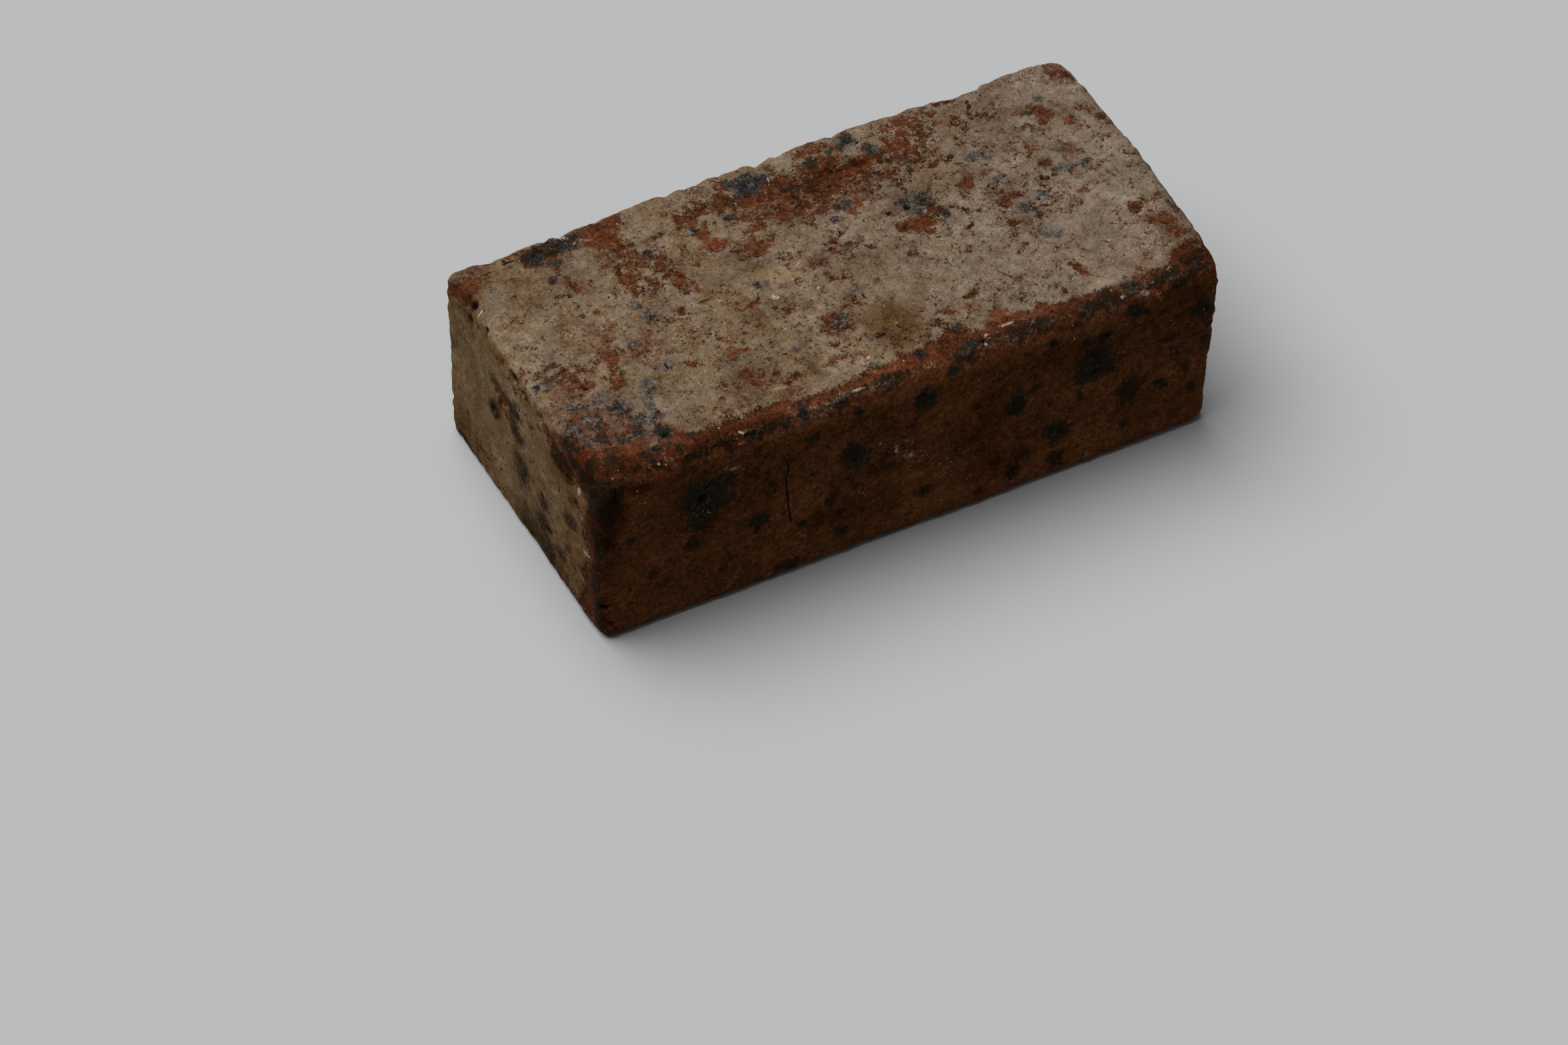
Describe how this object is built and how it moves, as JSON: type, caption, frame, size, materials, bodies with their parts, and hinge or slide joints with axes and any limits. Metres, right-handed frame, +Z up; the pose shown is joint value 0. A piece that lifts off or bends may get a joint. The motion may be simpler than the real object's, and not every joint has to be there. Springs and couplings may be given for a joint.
{
  "type": "clay brick",
  "caption": "Solid reclaimed clay brick with rolled and worn arrises, out-of-square ends, dark iron spots and an old lime mortar film on its bed, for laying in masonry.",
  "frame": {"origin": "middle of the lower bed face, on the floor", "axes": "+X along the stretcher face, +Y from the front face to the back face, +Z up through the height"},
  "size_m": [0.2287, 0.111, 0.073],
  "materials": {
    "fired_clay": "matt fired clay, sandy, with iron spots and a thin lime mortar film"
  },
  "bodies": {
    "root": {"brick": "fired_clay"}
  },
  "joints": []
}
